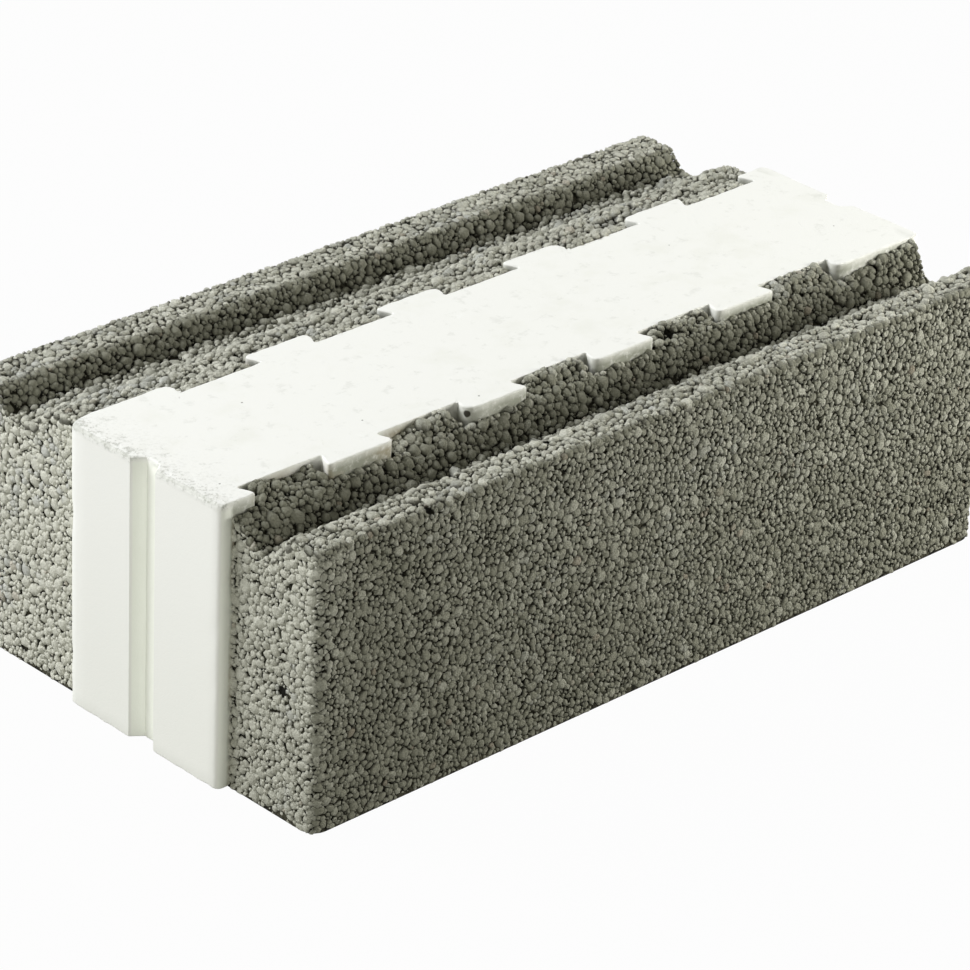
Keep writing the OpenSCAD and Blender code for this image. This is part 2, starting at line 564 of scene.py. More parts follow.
def make_core(core):
    """The core: its keyed plan carried up through worn, rounded edges. The top sinks in slow waves,
    and crumbles at the near end by max(0, ripple) * exp(-distance / 14 mm). The upright corners are
    chipped where a ripple of the wall passes a half."""
    low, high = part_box("polystyrene_core")
    plan = core_plan(core, low, high)
    around = border(*plan.shape[:2])
    rim = plan.reshape(-1, 2)[around]
    near_end = np.exp(-(rim[:, 0] - low.x) / NEAR_REACH)
    wear = 1 + 0.4 * ripple(rim, 0.013, 3) + (0.25 + 0.25 * near_end) * ripple(rim, 0.007, 4)
    foot = core.edge_round * np.clip(wear, 0.35, 1.7)
    edge = core.edge_round * np.clip(wear + 0.8 * near_end, 0.35, 1.7 + 0.8 * near_end)
    worst_corner = np.exp(-(((rim - [low.x, high.y]) / CORNER_REACH) ** 2).sum(1))
    edge += CORNER_LOSS * worst_corner
    edge[(rim[:, 1] > low.y + ROOT_FROM) & (rim[:, 1] < low.y + ROOT_TO)] *= ROOT_EDGE
    crumbs = np.clip(ripple(plan, 0.013, 8), 0, 1) * np.exp(-(plan[..., 0] - low.x) / CRUMBLE_REACH)
    top = high.z - core.wave * (1 + ripple(plan, 0.16, 5)) / 2 - core.crumble * crumbs
    rim_top = top.reshape(-1)[around]
    rings = [(foot * (1 - math.sin(a)), low.z + foot * (1 - math.cos(a))) for a in EDGE_TURNS]
    corners = np.array([(x, y) for x in (low.x, high.x) for y in (low.y, high.y)])
    to_corner = np.linalg.norm(rim[:, None] - corners, axis=2).min(1)
    for t in WALL_STEPS:
        height = (low.z + foot) * (1 - t) + (rim_top - edge) * t
        chip = np.clip(ripple(np.column_stack([rim, height]), 0.024, 13) - 0.5, 0, 1)
        chip *= np.exp(-((to_corner / CORNER_REACH) ** 2))
        rings.append((core.chip * chip * math.sin(math.pi * t), height))
    rings += [(edge * (1 - math.cos(a)), rim_top - edge * (1 - math.sin(a))) for a in EDGE_TURNS]
    places, faces = close_body(plan, top, np.full(plan.shape[:2], low.z), rings, (foot, edge))
    below = np.concatenate([np.zeros(2 * top.size), *(rim_top - height for _, height in rings)])
    # Painted shade on the round top edge at the near end and at the most worn corner, which dims its
    # highlight.
    arris_shade = np.zeros(len(places))
    turned = len(EDGE_TURNS)
    arris_shade[-turned * len(rim) :] = np.tile(np.clip(near_end + 0.9 * worst_corner, 0, 1.5), turned)
    add_piece(
        "polystyrene_core_body",
        places,
        faces,
        polystyrene(core, low, high),
        "polystyrene_core",
        crease=42,
        # The wear colour holds the haze, partly painted light and shade, and the painted shade of the round
        # near top edge.
        carried={"wear": core_haze_and_shade(core, low, high, places, below, arris_shade)},
    )


# Cement haze on the core's walls, partly painted light and shade: how far below the top it starts, over what
# height it grows there and in the pockets, the shares of it on the keys' flanks and on the strips beside the
# leaves, and how wide these strips are and where the haze on them starts.
HAZE_START, HAZE_GROWTH, POCKET_GROWTH = 0.0002, 0.0024, 0.0015
FLANK_HAZE, STRIP_HAZE = 0.6, 0.16
STRIP_WIDTH, STRIP_START, STRIP_GROWTH = 0.009, 0.002, 0.006

# How near to the face or to the root of a key a point still counts as being on it.
ON_WALL, ON_ROOT = 0.001, 0.0015


def core_haze_and_shade(core, low, high, places, below, arris_shade):
    """Cement haze on the walls that the concrete touches, in blotches that grow with the depth below
    the top, a little stronger towards both ends, with less of it on the flanks of the keys and at the
    far end of each pocket; and on the strip beside each leaf, growing from the end face to the leaf.
    Part of it is painted light and shade: it thins at the far end of each pocket, where the next key
    casts shade; it dims the lit flanks of the keys; towards the far end of the core it darkens the
    walls that the low lamp lights; and on the strips it is partly painted shade in the corner by the
    leaf. Gives a colour (haze, painted shade of the round near top edge, 0, 1) per point."""
    x, y = places[:, 0], places[:, 1]
    root = low.y + core.key_depth
    walled = (y < root + ON_WALL) | (y > high.y - core.key_depth - ON_WALL)
    rooted = (y > root - ON_ROOT) & (y < root + ON_WALL)
    flank = (y > low.y + ON_WALL) & (y < root - ON_ROOT)
    along = (x - low.x - core.short_key) % (2 * core.key_length) / core.key_length
    # Painted light: less haze at the far end of each pocket, where the next key shades the root wall.
    lighter_in_shadow = np.interp(along, [0.5, 0.8, 1.15, 1.2], [1, 0.2, 0.2, 1])
    deep = np.clip((below - HAZE_START) / HAZE_GROWTH, 0, 1)
    deep = np.where(rooted, np.clip(below / POCKET_GROWTH, 0, 1) * lighter_in_shadow, deep)
    # Stronger haze towards both ends; towards the far end it is painted shade on walls that the low lamp
    # lights.
    towards = np.interp(x, [low.x, -0.1, high.x], [1.0, 0.92, 1.0])
    blotch = np.clip(0.95 + 0.45 * ripple(places, 0.03, 9), 0, 1)
    haze = np.where(walled, deep * towards * blotch, 0)
    # On the flanks the haze also dims their highlight, as painted shade.
    haze = np.where(flank, haze * FLANK_HAZE, haze)
    # On the strips beside the leaves the haze is partly painted shade, growing towards the leaf.
    from_end = np.minimum(x - low.x, high.x - x)
    on_strip = np.clip((from_end - STRIP_START) / STRIP_GROWTH, 0, 1) * STRIP_HAZE
    haze = np.where((from_end < STRIP_WIDTH) & walled, on_strip, haze)
    return np.column_stack([haze, arris_shade, 0 * haze, 1 + 0 * haze])


# Painted light: a lighter, greener white on the shaded walls of the end grooves and on the strips beside the
# leaves.
LIT_GROOVE_SKIN = (0.96, 0.98, 0.92)


def polystyrene(core, low, high):
    """Moulded foam: beads pressed flat in a white skin, a crumbling near edge, smudges and a few dark specks
    on the top, and cement haze beside the concrete. Light and shade are painted as well: the near end face
    darker towards its foot, the end grooves and the strips beside the leaves lighter, the round near top
    edge darker, and a dark spot for the small hole in one key."""
    paint = Paint("polystyrene_skin", Specular_IOR_Level=0.15)
    x, _, z = paint.parts(paint.place)
    # The wear colour carries the haze and the painted shade of the round near top edge.
    haze, edge, _ = paint.attribute("wear")
    grain = paint.noise(0.0026, 3.0, 0.65)
    seam = 1 - paint.ramp(paint.cells(core.bead, "DISTANCE_TO_EDGE"), 0.0, 0.12)
    on_top = paint.ramp(z, high.z - 0.006, high.z - 0.0015)
    smudge = paint.ramp(paint.noise(0.035, 5.0, 0.6), 0.50, 0.75) * on_top
    behind_end = paint.ramp(x, low.x + 0.0006, low.x + 0.002)
    # Painted shade: the near end face painted darker towards its foot.
    painted_low_shade = (1 - paint.ramp(z, low.z, high.z * 0.9)) * (1 - behind_end)
    # Painted light on the shaded groove walls and on the strips beside the leaves.
    painted_groove_light = behind_end * (1 - paint.ramp(x, low.x + 0.0085, low.x + 0.0095)) * (1 - on_top)
    near = (1 - paint.ramp(x, low.x + 0.001, low.x + 0.016)) * on_top
    wide = (1 - paint.ramp(x, low.x, low.x + 0.05)) * on_top
    wisps = paint.ramp(paint.noise(0.012, 5.0, 0.72), 0.56, 0.68) * on_top
    crumbs = paint.ramp(grain, 0.50, 0.64) * (near * 0.8 + wide * 0.25)
    chosen = paint.ramp(paint.noise(0.03, 1.0), 0.52, 0.56)
    speck = (1 - paint.ramp(paint.cells(0.021), 0.022, 0.042)) * chosen * on_top
    rough_haze = haze * paint.ramp(paint.noise(0.0045, 4.0, 0.7), 0.1, 0.56)
    brown = paint.ramp(paint.noise(0.03, 2.0), 0.42, 0.56)
    brown_near = brown * (1 - paint.ramp(x, low.x + 0.13, low.x + 0.22))
    layers = [
        # Painted shade low on the near end face, and real smudges on the top.
        (painted_low_shade * 0.28 + smudge * 0.35, core.shade),
        (painted_groove_light, LIT_GROOVE_SKIN),
        (wisps * (wide * 0.45 + 0.20), core.pit),
        (crumbs * 0.75, core.pit),
        # Partly crumbled pits, partly painted shade that dims the highlight of the round near top edge.
        (edge * (0.30 + grain * 0.5), core.pit),
        (speck * 0.8, core.speck),
        (rough_haze * 0.96, paint.blend(brown_near, core.stain, core.brown)),
        # Painted shade: a dark spot stands for the small hole in one key.
        (1 - paint.ramp(paint.distance(core.hole), 0.0018, 0.0027), core.speck),
    ]
    height = grain * (near * 0.7 + wide * 0.4 + 0.05) - seam * 0.03 - rough_haze * 0.5
    return paint.finish(paint.layered(core.skin, layers), 0.85 + seam * 0.1, height, 0.0007)


# ---------------------------------------------------------------- granules


def near_pairs(seekers, others, reach):
    """Pairs (seeker, other) less than reach apart, and how far apart they are. Both sets are sorted
    into cubes of that size, and each seeker looks in 9 rows of 3 cubes about it."""
    low = np.minimum(seekers.min(0), others.min(0)) - 2 * reach
    cube, cube_other = ((p - low) // reach for p in (seekers, others))
    size = np.maximum(cube.max(0), cube_other.max(0)) + 3
    weigh = np.array([size[1] * size[2], size[2], 1.0])
    keys = (cube_other @ weigh).astype(np.int64)
    order = np.argsort(keys, kind="stable")
    keys = keys[order]
    found = []
    for step in np.ndindex(3, 3):
        wanted = ((cube + np.array([*step, 1]) - 1) @ weigh).astype(np.int64)
        first = np.searchsorted(keys, wanted - 1, "left")
        count = np.searchsorted(keys, wanted + 1, "right") - first
        seeker = np.repeat(np.arange(len(wanted)), count)
        within = np.arange(count.sum()) - np.repeat(np.cumsum(count) - count, count)
        other = order[np.repeat(first, count) + within]
        far = np.linalg.norm(seekers[seeker] - others[other], axis=1)
        close = far < reach
        found.append((seeker[close], other[close], far[close]))
    return [np.concatenate(part) for part in zip(*found)]


def settle(draw, classes, crowding, rng, others, others_radius):
    """Settles granules on a skin beside others, the largest first. Draw gives random spots on the
    skin. A spot is kept if its granule is at least crowding * (r1 + r2) from each one settled before
    it and from each earlier spot of its own throw. Classes are (radius from, to, throws, spots)."""
    kept, kept_radius = [others], [others_radius]
    for small, large, throws, number in classes:
        for _ in range(throws):
            spots = draw(number, rng)
            radius = rng.uniform(small, large, len(spots))
            free = np.ones(len(spots), bool)
            settled, settled_radius = np.concatenate(kept), np.concatenate(kept_radius)
            if len(settled):
                reach = crowding * (large + settled_radius.max())
                one, two, far = near_pairs(spots[:, :3], settled[:, :3], reach)
                free[one[far < crowding * (radius[one] + settled_radius[two])]] = False
            spots, radius = spots[free], radius[free]
            free = np.ones(len(spots), bool)
            one, two, far = near_pairs(spots[:, :3], spots[:, :3], crowding * 2 * large)
            hit = (far < crowding * (radius[one] + radius[two])) & (two < one)
            free[one[hit]] = False
            kept.append(spots[free])
            kept_radius.append(radius[free])
    return np.concatenate(kept[1:]), np.concatenate(kept_radius[1:])


def dome_shapes(sides, rings, kinds, rough, seed):
    """Unit granules: rings of points round the axis at (radius, height), each point moved by up to
    rough at random, with one point on top. Gives places (kinds, points, 3) and faces."""
    rng = np.random.default_rng(seed)
    turn = 2 * math.pi / sides
    angle = np.arange(sides) * turn
    shape = []
    for k, (radius, height) in enumerate(rings):
        spin = angle + k * turn / 2 + rng.uniform(-0.22, 0.22, (kinds, sides)) * turn * 1.6
        wide = radius * (1 + rng.uniform(-rough, rough, (kinds, sides)))
        high = height + rng.uniform(-rough, rough, (kinds, sides)) * 0.35 * (height > 0)
        shape.append(np.stack([wide * np.cos(spin), wide * np.sin(spin), high], -1))
    tip = np.zeros((kinds, 1, 3))
    tip[:, 0, 2] = 1
    tip[:, 0, :2] = rng.uniform(-0.18, 0.18, (kinds, 2))
    places = np.concatenate([*shape, tip], 1)
    n = np.arange(sides)
    after = (n + 1) % sides
    faces = []
    for k in range(len(rings) - 1):
        low, high = k * sides, (k + 1) * sides
        faces.append(np.stack([low + n, low + after, high + n], 1))
        faces.append(np.stack([low + after, high + after, high + n], 1))
    last = (len(rings) - 1) * sides
    top = len(rings) * sides
    faces.append(np.stack([last + n, last + after, np.full(sides, top)], 1))
    return places, np.concatenate(faces), n[::-1][None]


SMALL = dome_shapes(5, [(1.0, 0.0)], 24, 0.16, 11)
MIDDLE = dome_shapes(5, [(1.0, 0.0), (0.76, 0.80)], 24, 0.17, 12)
LARGE = dome_shapes(7, [(1.0, 0.0), (0.90, 0.60), (0.58, 0.93)], 24, 0.15, 13)
BUBBLE = dome_shapes(6, [(0.84, 0.0), (1.0, 0.45), (0.66, 0.88)], 24, 0.15, 14)
LUMP = dome_shapes(7, [(0.84, 0.0), (1.0, 0.42), (0.70, 0.86)], 24, 0.15, 15)


def place_domes(shape, spots, radius, height, sink, tilt, press, rng):
    """Copies of unit granules on a skin. Each copy is turned at random about its normal, tilted by
    up to tilt, stretched to radius across and height up, let in so that its top is sink below the
    skin, and pressed against the mould. Gives places, faces and the look (tone, rise, chance, lean of
    the skin)."""
    forms, sides, ground = shape
    total = len(spots)
    normal = unit(spots[:, 3:6] + rng.normal(size=(total, 3)) * tilt)
    across = unit(np.cross(normal, unit(rng.normal(size=(total, 3)))))
    beside = np.cross(normal, across)
    form = forms[rng.integers(0, len(forms), total)]
    long_way = radius * rng.uniform(0.92, 1.22, total)
    short_way = radius * rng.uniform(0.80, 1.05, total)
    foot = spots[:, :3] - spots[:, 3:6] * (height + sink)[:, None]
    places = foot[:, None] + form[..., :1] * (across * long_way[:, None])[:, None]
    places += form[..., 1:2] * (beside * short_way[:, None])[:, None]
    places += form[..., 2:] * (normal * height[:, None])[:, None]
    places = press(places, rng.uniform(0, 0.0004, (total, 1)))
    points = form.shape[1]
    first = (np.arange(total) * points)[:, None, None]
    faces = [(sides[None] + first).reshape(-1, 3), (ground[None] + first).reshape(-1, ground.shape[1])]
    look = np.ones((total, points, 4))
    look[..., 0] = rng.beta(2.2, 2.2, total)[:, None]
    # Rise, the height up the granule, later sets the painted shade at its foot.
    look[..., 1] = np.clip(form[..., 2], 0, 1)
    look[..., 2] = rng.random(total)[:, None]
    look[..., 3] = spots[:, 4:5]
    return places.reshape(-1, 3), faces, look.reshape(-1, 4)


def join(parts):
    """Joins (places, faces, look) parts into one set."""
    places, faces, looks, first = [], [], [], 0
    for part_places, part_faces, look in parts:
        places.append(part_places)
        faces += [f + first for f in part_faces]
        looks.append(look)
        first += len(part_places)
    return np.concatenate(places), faces, np.concatenate(looks)


# ---------------------------------------------------------------- concrete leaves


class Form(NamedTuple):
    """The shape and the tones of a leaf. The levels along it are (x, height of the seat before the
    keys, height of the fill at the back of the pockets)."""

    levels: list
    rim_height: float  # 0 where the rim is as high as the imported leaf
    rim: float  # width of the level rim
    fall: float  # width of the slope from the rim to the trough
    floor: float  # width of the trough floor
    shelf: float  # width of the level seat before the keys
    valley: float  # how much the floor narrows at the near end
    rim_round: float
    corner_round: float  # of the two outer upright corners
    over_rim: float  # how far loose granules may rise over the rim
    # Painted shade on the slopes of the top that face away from the key lamp, on both leaves.
    slope_shade: float  # how much darker slopes are that lean to the core, or if negative, away from it
    near_seat_darkening: float  # how much darker the seat is at the near end
    face_light_and_shade: float  # how strong the painted light and the painted shade of the face are
    # Painted light and shade: ends and top lifted where the lamps light them, the outer face lowered where
    # it lies in shade.
    lit_and_shaded_lifts: dict  # how much lighter each part is than the middle tone


FRONT_FORM = Form(
    levels=[
        (-0.292, 0.181, 0.187),
        (-0.268, 0.181, 0.190),
        (-0.250, 0.182, 0.186),
        (-0.238, 0.182, 0.184),
        (-0.220, 0.182, 0.190),
        (-0.200, 0.179, 0.190),
        (-0.160, 0.179, 0.182),
        (-0.125, 0.180, 0.189),
        (-0.080, 0.181, 0.190),
        (0.000, 0.182, 0.190),
        (0.160, 0.184, 0.190),
        (0.225, 0.181, 0.190),
        (0.292, 0.188, 0.190),
    ],
    rim_height=0,
    rim=0.022,
    fall=0.013,
    floor=0.021,
    shelf=0.002,
    valley=0.010,
    rim_round=0.004,
    corner_round=0.009,
    over_rim=0.0012,
    slope_shade=-2.2,
    near_seat_darkening=1.5,
    face_light_and_shade=0.4,
    lit_and_shaded_lifts={"top": 0.10, "face": -0.62, "ends": 0.20, "under": 0},
)
BACK_FORM = Form(
    levels=[(-0.292, 0.185, 0.190), (0.292, 0.185, 0.190)],
    rim_height=0.180,
    rim=0.025,
    fall=0.016,
    floor=0.008,
    shelf=0.018,
    valley=0.0,
    rim_round=0.002,
    corner_round=0.006,
    over_rim=0.0002,
    slope_shade=2.6,
    near_seat_darkening=0.0,
    face_light_and_shade=0.0,
    lit_and_shaded_lifts={"top": 0.12, "face": -0.20, "ends": 1.05, "under": 0},
)

# The top of a leaf: the height of its trough, the length of the valley at the near end and the share
# of it that the floor loses at the core's side, half the width of a pocket's full fill and of its
# fade beside that, how far before the core the step up to the fill starts and how long it is, the
# slow waves as (height, size, seed), and where they start behind the outer face and grow to their
# full.
TROUGH_HEIGHT = 0.166
NEAR_VALLEY, VALLEY_SHARE = 0.08, 0.8
FILL_HALF, FILL_FADE = 0.020, 0.010
STEP_BEFORE, STEP_LENGTH = 0.006, 0.016
WAVES = [(0.0008, 0.055, 31), (0.0005, 0.017, 32)]
WAVES_FROM, WAVES_GROWTH = 0.006, 0.012

# The section: points on the face, on the round edge of the rim and on the top. The step over which
# the slope of the top is taken.
FACE_POINTS, ROUND_POINTS, TOP_POINTS = 60, 8, 140
SLOPE_STEP = 0.0005

# Spots: how far they stay from the core, from it under the bed, from the foot of the face and below
# the top at the ends, the upward lean from which the corner's round leaves a spot alone, and the area
# of the bed face with the pockets as a share of the plain leaf's.
CLEAR, CLEAR_UNDER, CLEAR_FOOT, CLEAR_TOP = 0.0012, 0.002, 0.001, 0.001
UPWARD = 0.7
WITH_POCKETS = 1.15

# The size of the bend in which granules are pressed against the mould, and the share of what would
# reach past a rounded corner that is left there.
PRESS_BEND, CORNER_GIVE = 0.0003, 0.15

# The plan grid of a cement bed: the round of its corners beside the core, how far the points of its
# rows spread beside the mouths of the pockets and more than the flare beside their roots, how far
# before the core its last straight row lies, its first rows behind the outer face, and how many
# there are on the slope and from there on.
BED_ROUND = 0.0015
MOUTH_LEAN, PAST_FLARE = 0.0015, 0.008
BEFORE_CORE = 0.006
FIRST_ROWS = [0.0045, 0.010, 0.016]
SLOPE_ROWS, SEAT_ROWS = 6, 14

# The wall of a cement bed: height of its foot, how far the foot stays behind the mould and how high
# that part is, where the upright wall starts and how many rings it has, and for its top the steps of
# the ball that is carried over the leaf.
BED_FOOT, TOE, TOE_HEIGHT, WALL_FOOT = 0.0003, 0.0005, 0.0018, 0.005
WALL_RINGS, BALL_STEPS = 5, 9


class Leaf:
    """Plan and section of one leaf, measured as the front leaf lies: u runs from its outer face
    towards the core, and z up. The back leaf is one of these after half a turn about the core."""

    def __init__(self, core, node, form):
        low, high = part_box(node)
        self.low, self.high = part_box("polystyrene_core")
        self.core, self.form = core, form
        self.front = node == "front_leaf"
        self.left, self.right = low.x, high.x
        self.middle = (self.low.y + self.high.y) / 2
        self.face = self.low.y
        self.thickness = self.low.y - low.y if self.front else high.y - self.high.y
        self.outer = self.face - self.thickness
        self.rim_height = form.rim_height or high.z
        self.levels = np.array(form.levels).T

    def in_place(self, places):
        """Places of the leaf as it lies in the block."""
        return places if self.front else half_turn(places, self.middle)

    def beside_pocket(self, x):
        """How far x is from the middle of the nearest pocket."""
        start = self.low.x + self.core.short_key
        pitch = 2 * self.core.key_length
        nearest = np.clip(np.floor((x - start) / pitch), 0, 4)
        return np.abs(x - start - nearest * pitch - self.core.key_length / 2)

    def top(self, u, x):
        """Height of the top at (x, u): the rim, half a cosine down to the trough floor, the floor,
        half a cosine up to the seat before the keys, and in each pocket half a cosine more to the
        fill. The floor narrows to a valley at the near end, and slow waves make it all uneven."""
        place, seats, fills = self.levels
        seat, fill = np.interp(x, place, seats), np.interp(x, place, fills)
        near = np.clip((self.left + NEAR_VALLEY - x) / NEAR_VALLEY, 0, 1) * self.form.valley
        down = self.form.rim + self.form.fall + near
        up = self.form.rim + self.form.fall + self.form.floor - near * VALLEY_SHARE
        rise = self.thickness - self.form.shelf - up
        fallen = ease(self.rim_height, TROUGH_HEIGHT, (u - self.form.rim) / (down - self.form.rim))
        risen = ease(TROUGH_HEIGHT, seat, (u - up) / rise)
        z = np.where(u < up, fallen, risen)
        pocket = ease(1, 0, (self.beside_pocket(x) - FILL_HALF) / FILL_FADE)
        z += pocket * ease(0, 1, (u - self.thickness + STEP_BEFORE) / STEP_LENGTH) * (fill - seat)
        corner = np.clip(self.form.rim_round - u, 0, self.form.rim_round)
        z -= self.form.rim_round - np.sqrt(self.form.rim_round**2 - corner**2)
        place = np.stack([x + 0 * u, u + 0 * x], -1)
        waves = sum(height * ripple(place, size, seed) for height, size, seed in WAVES)
        return z + waves * ease(0, 1, (u - WAVES_FROM) / WAVES_GROWTH)

    def in_plan(self, x, u, clear):
        """Whether (x, u) is on the leaf and at least clear from the core."""
        core = self.core
        over = u - self.thickness
        wide = core.key_length / 2 + core.key_flare * over / core.key_depth - clear
        return (over < -clear) | ((self.beside_pocket(x) < wide) & (over < core.key_depth - clear * 0.5))

    def outline(self):
        """The section from the foot of the outer face, up it, over the rim and the trough to the
        pockets, as points (u, z), with the length run to each."""
        face = np.linspace(0, self.rim_height - self.form.rim_round, FACE_POINTS)
        turn = np.linspace(0, math.pi / 2, ROUND_POINTS)[1:]
        u = np.linspace(self.form.rim_round, self.thickness + self.core.key_depth, TOP_POINTS)[1:]
        arc_u = self.form.rim_round * (1 - np.cos(turn))
        arc_z = self.rim_height - self.form.rim_round * (1 - np.sin(turn))
        all_u = np.concatenate([0 * face, arc_u, u])
        all_z = np.concatenate([face, arc_z, self.top(u, 0 * u)])
        run = np.concatenate([[0], np.cumsum(np.hypot(np.diff(all_u), np.diff(all_z)))])
        return all_u, all_z, run

    def spots(self, x, u, z, normal):
        """Rows (x, y, z, normal) on the skin, with the two outer upright corners rounded."""
        r = self.form.corner_round
        spot = np.stack([x, self.outer + u, z, *normal], 1)
        for end, way in ((self.left, 1), (self.right, -1)):
            short_x, short_u = r - (x - end) * way, r - u
            far = np.hypot(short_x, short_u)
            both = (short_x > 0) & (short_u > 0) & (np.abs(normal[2]) < UPWARD)
            scale = r / np.maximum(far, 1e-9)
            spot[both, 0] = (end + way * (r - short_x * scale))[both]
            spot[both, 1] = (self.outer + r - short_u * scale)[both]
            spot[both, 3] = (-way * short_x / np.maximum(far, 1e-9))[both]
            spot[both, 4] = (-short_u / np.maximum(far, 1e-9))[both]
        spot[:, 3:6] = unit(spot[:, 3:6])
        return spot

    def draw_side(self, from_run, to_run):
        """Draws random spots between two lengths along the section. Past the rim's round edge the
        height and the normal (-dz/dx, -dz/du, 1) are those of the uneven top."""
        all_u, all_z, run = self.outline()
        along = unit(np.stack([np.gradient(all_u, run), np.gradient(all_z, run)], 1))
        step = SLOPE_STEP

        def draw(number, rng):
            x = rng.uniform(self.left, self.right, number)
            s = rng.uniform(from_run, to_run, number)
            u, z = np.interp(s, run, all_u), np.interp(s, run, all_z)
            du, dz = np.interp(s, run, along[:, 0]), np.interp(s, run, along[:, 1])
            on_top = u > self.form.rim_round + step
            z = np.where(on_top, self.top(u, x), z)
            slope_u = (self.top(u + step, x) - self.top(u - step, x)) / (2 * step)
            slope_x = (self.top(u, x + step) - self.top(u, x - step)) / (2 * step)
            uneven, moulded = (-slope_x, -slope_u, 1), (0, -dz, du)
            normal = [np.where(on_top, one, two) for one, two in zip(uneven, moulded)]
            return self.spots(x, u, z, normal)[self.in_plan(x, u, CLEAR)]

        return draw

    def draw_ends(self):
        """Draws random spots on the two ends."""

        def draw(number, rng):
            u = rng.uniform(0, self.thickness, number)
            z = rng.uniform(0, self.rim_height, number)
            way = rng.choice([-1.0, 1.0], number)
            x = np.where(way < 0, self.left, self.right)
            inside = z < self.top(u, x) - CLEAR_TOP
            return self.spots(x, u, z, (way, 0 * u, 0 * u))[inside]

        return draw

    def draw_under(self):
        """Draws random spots on the bed face."""

        def draw(number, rng):
            x = rng.uniform(self.left, self.right, number)
            u = rng.uniform(0, self.thickness + self.core.key_depth, number)
            inside = self.in_plan(x, u, CLEAR_UNDER)
            return self.spots(x, u, 0 * x, (0 * x, 0 * x, 0 * x - 1))[inside]

        return draw

    def press(self, places, slack):
        """Presses places against the mould, which is flat at the ends, the outer face, the bed
        face and the rim, and round at the two outer upright corners: what would reach past a wall
        ends slack behind it, with a soft bend."""
        pressed = places.copy()
        on_rim = places[..., 1] - self.outer < self.form.rim + self.form.fall * 0.5
        lid = np.where(on_rim, self.rim_height + self.form.over_rim, 1)
        walls = [(0, self.left, 1), (0, self.right, -1), (1, self.outer, 1), (2, 0.0, 1), (2, lid, -1)]
        for axis, wall, way in walls:
            depth = (pressed[..., axis] - wall) * way - slack
            inward = (depth + np.sqrt(depth**2 + PRESS_BEND**2)) / 2
            pressed[..., axis] = wall + way * (slack + inward)
        r = self.form.corner_round
        for end, way in ((self.left, 1), (self.right, -1)):
            short_x, short_u = r - (pressed[..., 0] - end) * way, r - (pressed[..., 1] - self.outer)
            far = np.hypot(short_x, short_u)
            past = (short_x > 0) & (short_u > 0) & (far > r)
            scale = np.where(past, (r + (far - r) * CORNER_GIVE) / np.maximum(far, r), 1)
            pressed[..., 0] = np.where(past, end + way * (r - short_x * scale), pressed[..., 0])
            pressed[..., 1] = np.where(past, self.outer + r - short_u * scale, pressed[..., 1])
        return pressed

    def skins(self):
        """For each part of the leaf what draws random spots on it, and its area."""
        length_run = self.outline()[-1][-1]
        edge = self.rim_height - self.form.rim_round * 0.5
        wide = self.right - self.left
        return {
            "top": (self.draw_side(edge, length_run), wide * (length_run - edge)),
            "face": (self.draw_side(CLEAR_FOOT, edge), wide * edge),
            "ends": (self.draw_ends(), 2 * self.thickness * self.rim_height),
            "under": (self.draw_under(), wide * self.thickness * WITH_POCKETS),
        }

    def body(self, bed, deep):
        """The cement bed: the leaf itself, set back by bed behind its moulded faces, with a top that
        is the lowest point of a ball of radius deep carried over the leaf's top."""
        core = self.core
        left, right = self.left + bed, self.right - bed
        edge, marks, corners = keyed_edge(
            core, self.low.x, self.high.x, self.face, left, right, BED_ROUND, BED_ROUND
        )
        lean = np.zeros(len(corners))
        root_lean = core.key_flare + PAST_FLARE
        lean[1:-1:4], lean[2:-1:4] = MOUTH_LEAN, root_lean
        lean[3:-1:4], lean[4:-1:4] = -root_lean, -MOUTH_LEAN
        row = straight_row(corners, marks, lean)
        up = self.form.rim + self.form.fall
        rise_end = self.thickness - BEFORE_CORE
        u_rows = [bed, *FIRST_ROWS, self.form.rim]
        u_rows += list(self.form.rim + self.form.fall * np.linspace(0, 1, SLOPE_ROWS + 1)[1:])
        u_rows += list(up + (rise_end - up) * np.linspace(0, 1, SEAT_ROWS + 1)[1:])
        plain = np.linspace(row[0], row[-1], len(row))
        rows = []
        for u in u_rows:
            t = u / rise_end
            rows.append(np.stack([plain * (1 - t) + row * t, np.full(len(row), self.outer + u)], 1))
        rows.append(edge)
        plan = np.stack(rows, 1)
        beyond = self.face + 1  # past the core, so that only the outer corners are rounded
        plan = pull_corners(plan, (left, self.outer + bed), (right, beyond), [self.form.corner_round] * 4)
        x, u = plan[..., 0], plan[..., 1] - self.outer
        steps = np.linspace(-deep, deep, BALL_STEPS)
        balls = [self.top(np.maximum(u + s, 0), x) - math.sqrt(deep**2 - s**2) for s in steps]
        top = np.min(balls, 0)
        rim = border(*plan.shape[:2])
        rim_top = top.reshape(-1)[rim]
        rings = [(np.full(len(rim), TOE - bed), TOE_HEIGHT)]
        for t in np.linspace(0, 1, WALL_RINGS + 1)[:-1]:
            rings.append((np.zeros(len(rim)), WALL_FOOT * (1 - t) + rim_top * t))
        return close_body(plan, top, np.full(plan.shape[:2], BED_FOOT), rings, (TOE - bed, 0.0))


# Radius classes: their bounds as shares of the largest radius, and the throws for each with the
# share of the skin that one throw would cover.
CLASS_BOUNDS = np.array([1, 0.76, 0.58, 0.45, 0.35, 0.26])
THROWS = [(1, 0.20), (2, 0.5), (5, 0.9), (7, 1.1), (6, 1.1)]
FEWEST = 10  # spots in a throw


def classes_for(settings, area, coarse):
    """Classes (radius from, to, throws, spots) from the largest to the smallest for an area."""
    bounds = settings.largest * coarse * CLASS_BOUNDS
    classes = []
    for wide, narrow, (throws, cover) in zip(bounds[:-1], bounds[1:], THROWS):
        number = int(cover * area / (math.pi * ((wide + narrow) / 2) ** 2))
        classes.append((narrow, wide, throws, max(number, FEWEST)))
    return classes


